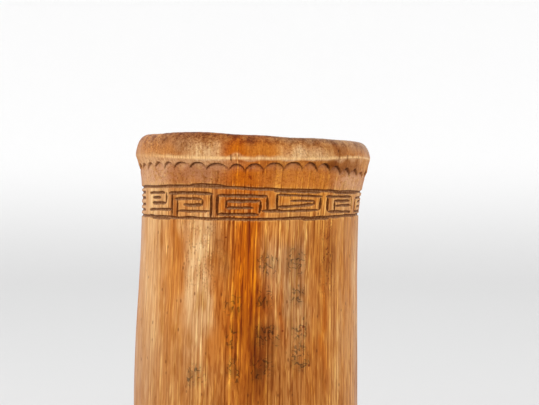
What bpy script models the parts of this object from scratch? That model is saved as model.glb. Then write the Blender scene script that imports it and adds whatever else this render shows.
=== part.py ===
"""A bamboo brush pot: one carved length of culm, a floor let into its foot, and the pegs that hold it.

The wall is first turned true about +Z and carved, then warped to the heights and the lean of a hand-cut culm.
Angles are in degrees round the pot: 0 faces -Y, and 90 faces +X.
"""

import math

import bmesh
import bpy
from mathutils import Matrix

# Driving dimensions, in metres
RIM_Z = 0.1633
WAIST_RADIUS = 0.0518
BORE_RADIUS = 0.0430
FLOOR_THICKNESS = 0.0097
FLOOR_UNDERSIDE_Z = 0.0085
FIT_GAP = 0.0003

# The wall as turned
WALL_STEPS = 72
REBATE_RADIUS = BORE_RADIUS + 0.0023
SHOULDER_Z = FLOOR_UNDERSIDE_Z + FLOOR_THICKNESS + FIT_GAP
FOOT_RADIUS = WAIST_RADIUS + 0.0015
FOOT_X = -0.0035  # the culm's centre at the foot: it leans to one side on the way down

# The carving, at the heights it has before the warp
UPPER_LINE_Z = 0.1395
LOWER_LINE_Z = 0.1265
SCALLOP_TOP_Z = 0.1506
RIDGE_Z = 0.1526
GROOVE_RADIUS = 0.0006
GROOVE_END_SHARE = 0.55  # a stroke is this much thinner at its two ends
GROOVE_SPAN_DEG = 9.0  # a stroke bends with the wall at least this often
SCALLOP_HALF_HEIGHT = 0.0030
SCALLOP_DEPTH = 0.0011
SCALLOP_SIDES = 12
SCALLOP_CLEARANCE = 0.93  # a notch's width as a share of the space between its cusps
# Where neighbouring notches of the scalloped edge meet: spaced by eye on the front, and evenly round the back
FRONT_CUSPS = (-80, -72, -64.5, -55.5, -48, -40.5, -31, -22, -11, -3, 6, 15.5, 25, 33.5, 41, 49, 56.5, 64, 73)
BACK_NOTCHES = 23

# The pegs
PEG_ANGLES_DEG = (40, 130, 220, 310)
PEG_RADIUS = 0.0020
PEG_TIP_RADIUS = 0.0017
PEG_TIP_DISTANCE = 0.0375  # from the culm's centre
PEG_SUNK = 0.0004
PEG_HEAD_DISTANCE = FOOT_RADIUS - PEG_SUNK
PEG_Z = FLOOR_UNDERSIDE_Z + FLOOR_THICKNESS / 2
PEG_SIDES = 20

# Radius and height down the outside, from the crest of the lip to the foot
OUTSIDE = (
    (0.0495, RIM_Z),
    (0.0517, 0.1631),
    (0.0531, 0.1622),
    (0.0542, 0.1607),
    (0.0551, 0.1586),
    (0.0557, 0.1560),
    (0.0559, 0.1535),
    (0.0556, RIDGE_Z),
    (0.0549, 0.1512),
    (0.0535, 0.1464),
    (0.0527, 0.1408),
    (0.05185, 0.1250),
    (WAIST_RADIUS, 0.1130),
    (0.0521, 0.0960),
    (0.0528, 0.0740),
    (FOOT_RADIUS, 0.0480),
    (FOOT_RADIUS, 0.0200),
    (FOOT_RADIUS, 0.0018),
    (0.0520, 0.0),
)
# Radius and height up the inside, from the foot to the crest
INSIDE = (
    (0.0465, 0.0),
    (REBATE_RADIUS, 0.0012),
    (REBATE_RADIUS, SHOULDER_Z),
    (BORE_RADIUS, SHOULDER_Z),
    (BORE_RADIUS, 0.0900),
    (BORE_RADIUS, 0.1500),
    (0.0438, 0.1570),
    (0.0451, 0.1608),
    (0.0470, 0.1628),
)

# Heights that the carver gave each line, every 30 degrees from 0
RIM_HEIGHTS = (
    0.1631, 0.1621, 0.1617, 0.1617, 0.1626, 0.1634,
    0.1636, 0.1640, 0.1645, 0.1648, 0.1650, 0.1648,
)
RIDGE_HEIGHTS = (
    0.1518, 0.1519, 0.1533, 0.1527, 0.1526, 0.1524,
    0.1525, 0.1530, 0.1538, 0.1549, 0.1541, 0.1523,
)
SCALLOP_HEIGHTS = (
    0.1503, 0.1510, 0.1478, 0.1475, 0.1485, 0.1496,
    0.1504, 0.1506, 0.1507, 0.1508, 0.1516, 0.1511,
)
UPPER_HEIGHTS = (
    0.1393, 0.1384, 0.1381, 0.1383, 0.1388, 0.1392,
    0.1396, 0.1399, 0.1402, 0.1403, 0.1404, 0.1405,
)
LOWER_HEIGHTS = (
    0.1256, 0.1262, 0.1271, 0.1277, 0.1275, 0.1271,
    0.1268, 0.1269, 0.1272, 0.1274, 0.1268, 0.1261,
)
STILL_Z = 0.1100  # below this height nothing is warped up or down

# The culm's centre line leans: height, and how far it lies along X
SWAY = (
    (0.0, FOOT_X),
    (0.045, FOOT_X),
    (0.070, -0.0031),
    (0.100, -0.0022),
    (0.125, -0.0014),
    (0.150, 0.0),
    (0.170, 0.0),
)

# The fret's keys, as strokes from (u0, v0) to (u1, v1): u runs along the key, v up from line to line.
KEYS = {
    "half": (
        (0.0, 0.79, 0.73, 0.79),
        (0.79, 0.79, 0.79, 0.49),
        (0.16, 0.64, 0.56, 0.64),
        (0.16, 0.45, 0.77, 0.46),
        (0.0, 0.22, 1.0, 0.25),
    ),
    "hook": (
        (0.0, 0.80, 0.0, 0.05),
        (-0.10, 0.77, 1.03, 0.77),
        (1.0, 0.74, 1.0, 0.04),
        (0.08, 0.59, 0.78, 0.60),
        (0.16, 0.56, 0.16, 0.05),
        (0.80, 0.58, 0.80, 0.41),
        (0.34, 0.41, 0.80, 0.42),
        (0.19, 0.22, 0.97, 0.23),
    ),
    "coil": (
        (0.0, 0.74, 0.0, 0.12),
        (0.02, 0.73, 1.0, 0.76),
        (1.01, 0.73, 1.02, 0.28),
        (0.20, 0.57, 0.86, 0.61),
        (0.18, 0.57, 0.18, 0.38),
        (0.20, 0.35, 0.73, 0.37),
        (0.88, 0.58, 0.86, 0.22),
        (0.02, 0.14, 0.84, 0.15),
        (0.92, 0.27, 1.33, 0.27),
    ),
    "loop": (
        (0.0, 0.82, 0.02, 0.26),
        (0.02, 0.82, 1.01, 0.79),
        (0.98, 0.73, 0.97, 0.30),
        (0.29, 0.62, 0.82, 0.62),
        (0.83, 0.61, 0.83, 0.51),
        (0.05, 0.40, 0.82, 0.50),
        (0.0, 0.25, 0.94, 0.28),
    ),
    "meander": (
        (0.0, 0.76, 0.03, 0.24),
        (-0.04, 0.79, 0.92, 0.79),
        (0.94, 0.77, 1.0, 0.26),
        (0.22, 0.62, 0.86, 0.62),
        (0.24, 0.57, 0.26, 0.23),
        (0.28, 0.42, 0.93, 0.42),
        (0.06, 0.20, 0.98, 0.15),
    ),
    "comb": (
        (0.0, 0.78, 0.0, 0.24),
        (0.02, 0.81, 1.0, 0.81),
        (0.18, 0.58, 0.18, 0.42),
        (0.20, 0.61, 1.0, 0.61),
        (0.20, 0.39, 1.0, 0.39),
        (0.02, 0.20, 1.0, 0.20),
    ),
}
# Each key round the pot: its two ends in degrees, and its kind
FRET = (
    (-63.4, -42.8, "half"),
    (-42.8, -19.3, "hook"),
    (-16, 8.4, "coil"),
    (13.3, 38.2, "loop"),
    (42.3, 64.7, "meander"),
    (69, 93, "coil"),
    (98, 122, "loop"),
    (126, 148, "half"),
    (148, 172, "hook"),
    (176, 200, "coil"),
    (205, 230, "loop"),
    (234.5, 257.5, "meander"),
    (263, 290, "comb"),
)


def clear_scene():
    for obj in list(bpy.data.objects):
        bpy.data.objects.remove(obj, do_unlink=True)


def collection(name, hidden=False):
    made = bpy.data.collections.new(name)
    bpy.context.scene.collection.children.link(made)
    made.hide_render = hidden
    return made


def material(name, colour, roughness):
    made = bpy.data.materials.new(name)
    made.use_nodes = True
    shader = made.node_tree.nodes["Principled BSDF"]
    shader.inputs["Base Color"].default_value = (*colour, 1.0)
    shader.inputs["Roughness"].default_value = roughness
    shader.inputs["Metallic"].default_value = 0.0
    return made


def new_object(name, mesh, group, look=None):
    made = bpy.data.objects.new(name, mesh)
    group.objects.link(made)
    if look:
        mesh.materials.clear()
        mesh.materials.append(look)
    return made


def as_cutter(obj):
    obj.hide_render = True
    obj.display_type = "WIRE"
    return obj


def evaluated_mesh(obj):
    """The object's mesh with its modifiers applied, and with the caps of a curve welded on."""
    graph = bpy.context.evaluated_depsgraph_get()
    mesh = bpy.data.meshes.new_from_object(obj.evaluated_get(graph))
    edit = bmesh.new()
    edit.from_mesh(mesh)
    bmesh.ops.remove_doubles(edit, verts=edit.verts, dist=1e-6)
    bmesh.ops.triangulate(edit, faces=edit.faces)
    edit.to_mesh(mesh)
    edit.free()
    return mesh


def cut(obj, cutter, overlapping=False):
    boolean = obj.modifiers.new("cut_" + cutter.name, "BOOLEAN")
    boolean.operation = "DIFFERENCE"
    boolean.solver = "EXACT"
    boolean.use_self = overlapping
    boolean.object = cutter


def shade_round(obj, sharp_deg=32):
    obj.data.shade_smooth()
    obj.data.set_sharp_from_angle(angle=math.radians(sharp_deg))


def radius_at(z):
    """The outer wall's turned radius at a height."""
    for (top_radius, top), (low_radius, low) in zip(OUTSIDE, OUTSIDE[1:]):
        if top >= z >= low and top > low:
            return low_radius + (top_radius - low_radius) * (z - low) / (top - low)
    return OUTSIDE[-1][0]


def on_wall(angle_deg, radius, z):
    angle = math.radians(angle_deg)
    return radius * math.sin(angle), -radius * math.cos(angle), z


def turned(name, profile, steps, group, look=None):
    """A closed profile of (radius, height) points turned about Z into one solid."""
    edit = bmesh.new()
    corners = [edit.verts.new((radius, 0.0, z)) for radius, z in profile]
    for first, second in zip(corners, corners[1:] + corners[:1]):
        edit.edges.new((first, second))
    mesh = bpy.data.meshes.new(name)
    edit.to_mesh(mesh)
    edit.free()
    made = new_object(name, mesh, group, look)
    screw = made.modifiers.new("turn", "SCREW")
    screw.angle = math.tau
    screw.steps = steps
    screw.render_steps = steps
    screw.use_merge_vertices = True
    screw.merge_threshold = 1e-6
    return made


def peg_frame(angle_deg):
    """Places a solid made along +Z so that it points outwards from the culm's centre, at the pegs' height."""
    angle = math.radians(angle_deg)
    turn = Matrix.Rotation(angle, 4, "Z") @ Matrix.Rotation(math.pi / 2, 4, "X")
    return Matrix.Translation((FOOT_X, 0.0, PEG_Z)) @ turn


def rod(name, start, end, start_radius, end_radius, angle_deg, group, look=None):
    """A round rod that runs outwards from the culm's centre, between two distances."""
    edit = bmesh.new()
    middle = Matrix.Translation((0.0, 0.0, (start + end) / 2))
    bmesh.ops.create_cone(
        edit,
        cap_ends=True,
        segments=PEG_SIDES,
        radius1=start_radius,
        radius2=end_radius,
        depth=end - start,
        matrix=middle,
    )
    mesh = bpy.data.meshes.new(name)
    edit.to_mesh(mesh)
    edit.free()
    made = new_object(name, mesh, group, look)
    made.matrix_world = peg_frame(angle_deg)
    return made


def groove(curve, points, closed=False):
    """Adds one gouge stroke to a curve, along the turned wall. It thins at its ends unless it is a ring."""
    spline = curve.splines.new("POLY")
    spline.points.add(len(points) - 1)
    spline.use_cyclic_u = closed
    for index, (target, (angle, z)) in enumerate(zip(spline.points, points)):
        target.co = (*on_wall(angle, radius_at(z), z), 1.0)
        at_end = not closed and index in (0, len(points) - 1)
        target.radius = GROOVE_END_SHARE if at_end else 1.0


def stroke(start, end):
    """The (angle, height) points of a stroke, close enough together to bend with the wall."""
    spans = max(2, math.ceil(abs(end[0] - start[0]) / GROOVE_SPAN_DEG))
    shares = [i / spans for i in range(spans + 1)]
    return [(start[0] + (end[0] - start[0]) * s, start[1] + (end[1] - start[1]) * s) for s in shares]


def groove_cutter(name, strokes, group, closed=False):
    curve = bpy.data.curves.new(name, "CURVE")
    curve.dimensions = "3D"
    curve.bevel_depth = GROOVE_RADIUS
    curve.bevel_resolution = 1
    curve.use_fill_caps = True
    for points in strokes:
        groove(curve, points, closed)
    drawn = bpy.data.objects.new(name, curve)
    group.objects.link(drawn)
    mesh = evaluated_mesh(drawn)
    bpy.data.objects.remove(drawn)
    return as_cutter(new_object(name, mesh, group))


def border_lines(group):
    """The two lines that the fret runs between."""
    steps = [360 * (i + 0.5) / WALL_STEPS for i in range(WALL_STEPS)]
    rings = [[(angle, z) for angle in steps] for z in (UPPER_LINE_Z, LOWER_LINE_Z)]
    return groove_cutter("border_lines", rings, group, closed=True)


def fret_strokes(group):
    strokes = []
    band = UPPER_LINE_Z - LOWER_LINE_Z
    for left, right, kind in FRET:
        width = right - left
        for u0, v0, u1, v1 in KEYS[kind]:
            start = (left + u0 * width, LOWER_LINE_Z + v0 * band)
            end = (left + u1 * width, LOWER_LINE_Z + v1 * band)
            strokes.append(stroke(start, end))
    return groove_cutter("fret_strokes", strokes, group)


def notches():
    """The two cusps of every notch round the pot, in degrees."""
    first, last = FRONT_CUSPS[0] + 360, FRONT_CUSPS[-1]
    pitch = (first - last) / BACK_NOTCHES
    cusps = list(FRONT_CUSPS) + [last + pitch * (i + 1) for i in range(BACK_NOTCHES)]
    return list(zip(cusps, cusps[1:]))


def scallops(group):
    """A row of thumbnail notches: each is an arch stabbed in with a gouge and pared up to from below."""
    centre_z = SCALLOP_TOP_Z - SCALLOP_HALF_HEIGHT
    clear_of_wall = 0.0015
    edit = bmesh.new()
    for left, right in notches():
        middle = (left + right) / 2
        half_width = (right - left) / 2 * SCALLOP_CLEARANCE
        arch = bmesh.ops.create_cone(
            edit, cap_ends=True, segments=SCALLOP_SIDES, radius1=1.0, radius2=1.0, depth=2.0
        )
        for vert in arch["verts"]:
            across, up, out = vert.co
            z = centre_z + up * SCALLOP_HALF_HEIGHT
            depth = SCALLOP_DEPTH * (0.25 + 0.75 * up)
            radius = radius_at(z) + (clear_of_wall if out > 0 else -depth)
            vert.co = on_wall(middle + across * half_width, radius, z)
    # The cone's own left and right are kept by the mapping, so its faces are only made to agree.
    bmesh.ops.recalc_face_normals(edit, faces=edit.faces)
    mesh = bpy.data.meshes.new("scallops")
    edit.to_mesh(mesh)
    edit.free()
    return as_cutter(new_object("scallops", mesh, group))


def around(heights, angle_deg):
    """Reads a ring of evenly spaced heights at any angle, as a smooth closed curve through them."""
    count = len(heights)
    place = (angle_deg % 360) / 360 * count
    index, t = int(place), place - int(place)
    a, b, c, d = (heights[(index + k) % count] for k in (-1, 0, 1, 2))
    return b + 0.5 * t * (c - a + t * (2 * a - 5 * b + 4 * c - d + t * (3 * (b - c) + d - a)))


def between(knots, at):
    """Linear interpolation through rising (place, value) knots."""
    for (low, low_value), (high, high_value) in zip(knots, knots[1:]):
        if at <= high:
            return low_value + (high_value - low_value) * (at - low) / (high - low)
    return knots[-1][1]


def hand_cut(mesh):
    """Warps the true, turned wall to the heights that each line has round the pot, and to the culm's lean."""
    for vert in mesh.vertices:
        x, y, z = vert.co
        angle = math.degrees(math.atan2(x, -y))
        knots = (
            (0.0, 0.0),
            (STILL_Z, STILL_Z),
            (LOWER_LINE_Z, around(LOWER_HEIGHTS, angle)),
            (UPPER_LINE_Z, around(UPPER_HEIGHTS, angle)),
            (SCALLOP_TOP_Z, around(SCALLOP_HEIGHTS, angle)),
            (RIDGE_Z, around(RIDGE_HEIGHTS, angle)),
            (RIM_Z, around(RIM_HEIGHTS, angle)),
        )
        vert.co = (x + between(SWAY, z), y, between(knots, z))


def culm_wall(group, cutters, look):
    """The length of culm: flared lip, scallops, fret, bore, and the rebate that takes the floor."""
    true_wall = turned("turned_wall", OUTSIDE + INSIDE, WALL_STEPS, cutters)
    cut(true_wall, fret_strokes(cutters), overlapping=True)
    cut(true_wall, border_lines(cutters))
    cut(true_wall, scallops(cutters))
    mesh = evaluated_mesh(true_wall)
    mesh.name = "culm_wall"
    bpy.data.objects.remove(true_wall)
    hand_cut(mesh)
    wall = new_object("culm_wall", mesh, group, look)
    for number, angle in enumerate(PEG_ANGLES_DEG, 1):
        inside = PEG_TIP_DISTANCE
        outside = FOOT_RADIUS + 0.004
        radius = PEG_RADIUS + FIT_GAP
        hole = rod(f"wall_peg_hole_{number}", inside, outside, radius, radius, angle, cutters)
        cut(wall, as_cutter(hole))
    shade_round(wall)
    return wall


def floor_disc(group, cutters, look):
    """The floor, pushed up into the rebate, with a blind hole in its edge for each peg."""
    radius = REBATE_RADIUS - FIT_GAP
    chamfer = 0.0008
    low, high = FLOOR_UNDERSIDE_Z, FLOOR_UNDERSIDE_Z + FLOOR_THICKNESS
    edit = bmesh.new()
    bmesh.ops.create_cone(
        edit,
        cap_ends=True,
        segments=WALL_STEPS,
        radius1=radius,
        radius2=radius,
        depth=FLOOR_THICKNESS,
        matrix=Matrix.Translation((FOOT_X, 0.0, (low + high) / 2)),
    )
    rims = [edge for edge in edit.edges if abs(edge.verts[0].co.z - edge.verts[1].co.z) < 1e-6]
    bmesh.ops.bevel(edit, geom=rims, offset=chamfer, segments=1, affect="EDGES")
    mesh = bpy.data.meshes.new("floor_disc")
    edit.to_mesh(mesh)
    edit.free()
    disc = new_object("floor_disc", mesh, group, look)
    for number, angle in enumerate(PEG_ANGLES_DEG, 1):
        bottom = PEG_TIP_DISTANCE - FIT_GAP
        radius = PEG_RADIUS + FIT_GAP
        hole = rod(f"floor_peg_hole_{number}", bottom, FOOT_RADIUS, radius, radius, angle, cutters)
        cut(disc, as_cutter(hole))
    shade_round(disc)
    return disc


def floor_pegs(group, look):
    for number, angle in enumerate(PEG_ANGLES_DEG, 1):
        peg = rod(
            f"floor_peg_{number}",
            PEG_TIP_DISTANCE,
            PEG_HEAD_DISTANCE,
            PEG_TIP_RADIUS,
            PEG_RADIUS,
            angle,
            group,
            look,
        )
        bevel = peg.modifiers.new("eased_ends", "BEVEL")
        bevel.width = 0.00035
        bevel.segments = 1
        bevel.limit_method = "ANGLE"
        bevel.angle_limit = math.radians(50)
        shade_round(peg)


def main():
    clear_scene()
    pot = collection("bamboo_brush_pot")
    cutters = collection("cutters", hidden=True)
    bamboo = material("stained_bamboo", (0.52, 0.20, 0.05), 0.38)
    floor_wood = material("floor_wood", (0.30, 0.13, 0.05), 0.60)
    peg_bamboo = material("peg_bamboo", (0.42, 0.20, 0.07), 0.50)
    culm_wall(pot, cutters, bamboo)
    floor_disc(pot, cutters, floor_wood)
    floor_pegs(pot, peg_bamboo)


main()
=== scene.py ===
import math

import bmesh
import bpy
import numpy as np
from mathutils import Matrix, Vector


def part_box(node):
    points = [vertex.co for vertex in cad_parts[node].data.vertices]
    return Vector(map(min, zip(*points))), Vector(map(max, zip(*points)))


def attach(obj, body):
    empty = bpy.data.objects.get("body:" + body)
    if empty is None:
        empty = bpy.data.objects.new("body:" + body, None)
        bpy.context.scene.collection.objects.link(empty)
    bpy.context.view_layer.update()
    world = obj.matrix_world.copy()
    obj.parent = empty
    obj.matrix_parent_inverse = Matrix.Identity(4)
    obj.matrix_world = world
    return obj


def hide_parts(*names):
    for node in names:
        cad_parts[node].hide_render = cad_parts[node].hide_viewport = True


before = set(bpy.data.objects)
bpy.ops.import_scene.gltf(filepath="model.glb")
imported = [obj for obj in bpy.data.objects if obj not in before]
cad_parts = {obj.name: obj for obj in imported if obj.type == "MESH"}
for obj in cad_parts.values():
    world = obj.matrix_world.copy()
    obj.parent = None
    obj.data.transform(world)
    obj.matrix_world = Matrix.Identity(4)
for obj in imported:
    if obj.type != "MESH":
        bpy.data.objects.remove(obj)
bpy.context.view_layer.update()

# The pot is one carved length of bamboo culm. Angles are in degrees round it: 0 faces -Y and 90 faces +X.
# Lengths are in metres. As in the CAD model, the wall is first turned and carved true about +Z, at "true"
# heights, and then warped to the heights and the lean of the hand-cut culm.

# The wall as turned
RIM_Z = 0.1633
LIP_RADIUS = 0.0559
BORE_RADIUS = 0.0430
REBATE_RADIUS = 0.0453
SHOULDER_Z = 0.0185
OUTSIDE_RADIUS = 0.0500  # beyond this is the outside of the wall
CARVED_RADIUS = 0.0505  # beyond this is the part of it that's carved
FOOT_X = -0.0035  # the culm's centre at the foot
COLUMNS = 340
LIP_ROW_GAP = 0.0011  # between the rows of faces inside the lip
BORE_ROW_GAP = 0.0060
SPLIT_REACHES = (0.0006, 0.0001)  # each round splits the faces this near to an edge of the carving

# The holes for the pegs: the gap round a peg, how far in from its outer end they start, and how far they run
# on past that end
FIT_GAP = 0.0003
WALL_HOLE_START = 0.0150
FLOOR_HOLE_START = 0.0157
HOLE_OVERRUN = 0.0050

# The carving, at true heights
UPPER_LINE_Z = 0.1395
LOWER_LINE_Z = 0.1265
BAND_HEIGHT = UPPER_LINE_Z - LOWER_LINE_Z
SCALLOP_TOP_Z = 0.1506
RIDGE_Z = 0.1526
STILL_Z = 0.1100  # below this, true heights aren't warped

# Radius and height down the outside, from the crest of the lip to the foot
OUTSIDE = (
    (0.0495, RIM_Z), (0.0517, 0.1631), (0.0531, 0.1622), (0.0542, 0.1607), (0.0551, 0.1586),
    (0.0557, 0.1560), (LIP_RADIUS, 0.1537), (0.05582, 0.1528), (0.0552, 0.1518), (0.0546, 0.1505),
    (0.0535, 0.1464), (0.0527, 0.1408), (0.0521, 0.1330), (0.05185, 0.1250), (0.0518, 0.1130),
    (0.0521, 0.0960), (0.0528, 0.0740), (0.0533, 0.0480), (0.0533, 0.0200), (0.0532, 0.0028),
)
# Round the foot and up the rebate to its shoulder. These corners stay crisp.
FOOT = (
    (0.0532, 0.0020), (0.0528, 0.0008), (0.0519, 0.0001), (0.0517, 0.0), (0.0468, 0.0),
    (0.0465, 0.0001), (0.0456, 0.0008), (REBATE_RADIUS, 0.0012), (REBATE_RADIUS, 0.0100),
    (REBATE_RADIUS, SHOULDER_Z), (BORE_RADIUS, SHOULDER_Z),
)
# Up the bore and over the inside of the lip to the crest
INSIDE = (
    (BORE_RADIUS, 0.0190), (BORE_RADIUS, 0.0900), (BORE_RADIUS, 0.1480), (0.0433, 0.1540),
    (0.0440, 0.1580), (0.0451, 0.1608), (0.0470, 0.1628), (0.0484, 0.16325),
)
# How far apart the rows of faces are, at heights down the outside
ROW_SPACING = (
    (0.0, 0.0012), (0.0150, 0.0015), (0.0200, 0.0045), (0.1150, 0.0045), (0.1240, 0.0012),
    (0.1254, 0.00033), (0.1275, 0.00033), (0.1283, 0.0011), (0.1378, 0.0011), (0.1386, 0.00033),
    (0.1404, 0.00033), (0.1412, 0.0011), (0.1495, 0.0009), (0.1510, 0.0004), (0.1538, 0.0004),
    (0.1550, 0.0009), (0.1700, 0.0009),
)

# The heights that each line really has, every 30 degrees from 0, by its true height
LINE_HEIGHTS = {
    LOWER_LINE_Z: (
        0.1256, 0.1262, 0.1271, 0.1277, 0.1275, 0.1271,
        0.1268, 0.1269, 0.1272, 0.1274, 0.1268, 0.1261,
    ),
    UPPER_LINE_Z: (
        0.1393, 0.1384, 0.1381, 0.1383, 0.1388, 0.1392,
        0.1396, 0.1399, 0.1402, 0.1403, 0.1404, 0.1405,
    ),
    SCALLOP_TOP_Z: (
        0.1503, 0.1510, 0.1478, 0.1475, 0.1485, 0.1496,
        0.1504, 0.1506, 0.1507, 0.1508, 0.1516, 0.1511,
    ),
    RIDGE_Z: (
        0.1518, 0.1519, 0.1533, 0.1527, 0.1526, 0.1524,
        0.1525, 0.1530, 0.1538, 0.1549, 0.1541, 0.1523,
    ),
    RIM_Z: (
        0.1631, 0.1621, 0.1617, 0.1617, 0.1626, 0.1634,
        0.1636, 0.1640, 0.1645, 0.1648, 0.1650, 0.1648,
    ),
}
# The culm's centre line leans: height, and how far it lies along X
SWAY = (
    (0.0, FOOT_X), (0.045, FOOT_X), (0.070, -0.0031), (0.100, -0.0022), (0.125, -0.0014),
    (0.150, 0.0), (0.170, 0.0),
)

# Where neighbouring notches of the scalloped edge meet: measured on the front, and evenly spaced at the back
FRONT_CUSPS = (
    -80, -72, -64.5, -55.5, -48, -40.5, -31, -22, -11, -3, 6, 15.5, 25, 33.5, 41, 49, 56.5, 64, 73,
)
BACK_NOTCHES = 23
SCALLOP_ARCH = 0.0027  # from a notch's top down to the cusps beside it
SCALLOP_RUN = 0.0038  # from a notch's top down to where it dies out
SCALLOP_DEPTH = 0.0012
CREASE_DEPTH = 0.0007

# Fine cracks up the lip from its ridge: angle and true height of the upper end
CRACKS = ((-9.4, 0.1562), (45.0, 0.1574), (51.2, 0.156), (128.0, 0.157), (212.0, 0.158))
CRACK_HALF_WIDTH = 0.00034
CRACK_DEPTH = 0.0006
CRACK_START = 0.0006  # how far below the ridge they start

# The fret's keys, as strokes from (u0, v0) to (u1, v1): u runs along the key, v up from line to line.
KEYS = {
    "half": (
        (0.0, 0.79, 0.73, 0.79), (0.79, 0.79, 0.79, 0.49), (0.16, 0.64, 0.56, 0.64),
        (0.16, 0.45, 0.77, 0.46), (0.0, 0.22, 1.0, 0.25),
    ),
    "hook": (
        (0.0, 0.8, 0.0, 0.05), (-0.1, 0.77, 1.03, 0.77), (1.0, 0.74, 1.0, 0.04),
        (0.08, 0.59, 0.78, 0.6), (0.16, 0.56, 0.16, 0.05), (0.8, 0.58, 0.8, 0.41),
        (0.34, 0.41, 0.8, 0.42), (0.19, 0.22, 0.97, 0.23),
    ),
    "coil": (
        (0.0, 0.74, 0.0, 0.12), (0.02, 0.73, 1.0, 0.76), (1.01, 0.73, 1.02, 0.28),
        (0.2, 0.57, 0.86, 0.61), (0.18, 0.57, 0.18, 0.38), (0.2, 0.35, 0.73, 0.37),
        (0.88, 0.58, 0.86, 0.22), (0.02, 0.14, 0.84, 0.15), (0.92, 0.27, 1.33, 0.27),
    ),
    "loop": (
        (0.0, 0.82, 0.02, 0.26), (0.02, 0.82, 1.01, 0.79), (0.98, 0.73, 0.97, 0.3),
        (0.29, 0.62, 0.82, 0.62), (0.83, 0.61, 0.83, 0.51), (0.05, 0.4, 0.82, 0.5),
        (0.0, 0.25, 0.94, 0.28),
    ),
    "meander": (
        (0.0, 0.76, 0.03, 0.24), (-0.04, 0.79, 0.92, 0.79), (0.94, 0.77, 1.0, 0.26),
        (0.22, 0.62, 0.86, 0.62), (0.24, 0.57, 0.26, 0.23), (0.28, 0.42, 0.93, 0.42),
        (0.06, 0.2, 0.98, 0.15),
    ),
    "comb": (
        (0.0, 0.78, 0.0, 0.24), (0.02, 0.81, 1.0, 0.81), (0.18, 0.58, 0.18, 0.42),
        (0.2, 0.61, 1.0, 0.61), (0.2, 0.39, 1.0, 0.39), (0.02, 0.2, 1.0, 0.2),
    ),
}
# Each key round the pot: its two ends in degrees, and its kind
FRET = (
    (-63.4, -42.8, "half"), (-42.8, -19.3, "hook"), (-16, 8.4, "coil"), (13.3, 38.2, "loop"),
    (42.3, 64.7, "meander"), (69, 93, "coil"), (98, 122, "loop"), (126, 148, "half"),
    (148, 172, "hook"), (176, 200, "coil"), (205, 230, "loop"), (234.5, 257.5, "meander"),
    (263, 290, "comb"),
)
FRET_RADIUS = 0.0522  # of the wall, half way up the band
STROKE_HALF_WIDTH = 0.00084
STROKE_DEPTH = 0.0008
LINE_HALF_WIDTH = 0.0008
# Where the gouge ran on past a key or beside a line: its two ends in degrees, and how far up the band
OVERCUTS = ((12, 37, 0.945), (46, 70, 0.95), (-31, -12, 1.04), (-60, -44, -0.05), (28, 44, -0.05))

# The stain's tones, as display values from 0 to 255
TONES = {
    "honey": (203, 132, 64), "pale": (224, 172, 118), "cream": (236, 194, 144),
    "dun": (190, 138, 92), "amber": (208, 124, 40), "russet": (199, 101, 0),
    "umber": (120, 56, 6), "rose": (178, 124, 90), "ash": (160, 126, 98),
}
# The stain's slow drift, most of it on the sides and the back: tone, seed, strength
DRIFTS = (
    ("pale", 63, 0.55), ("russet", 64, 0.75), ("dun", 65, 0.55), ("amber", 66, 0.6), ("umber", 67, 0.35),
)
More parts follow.
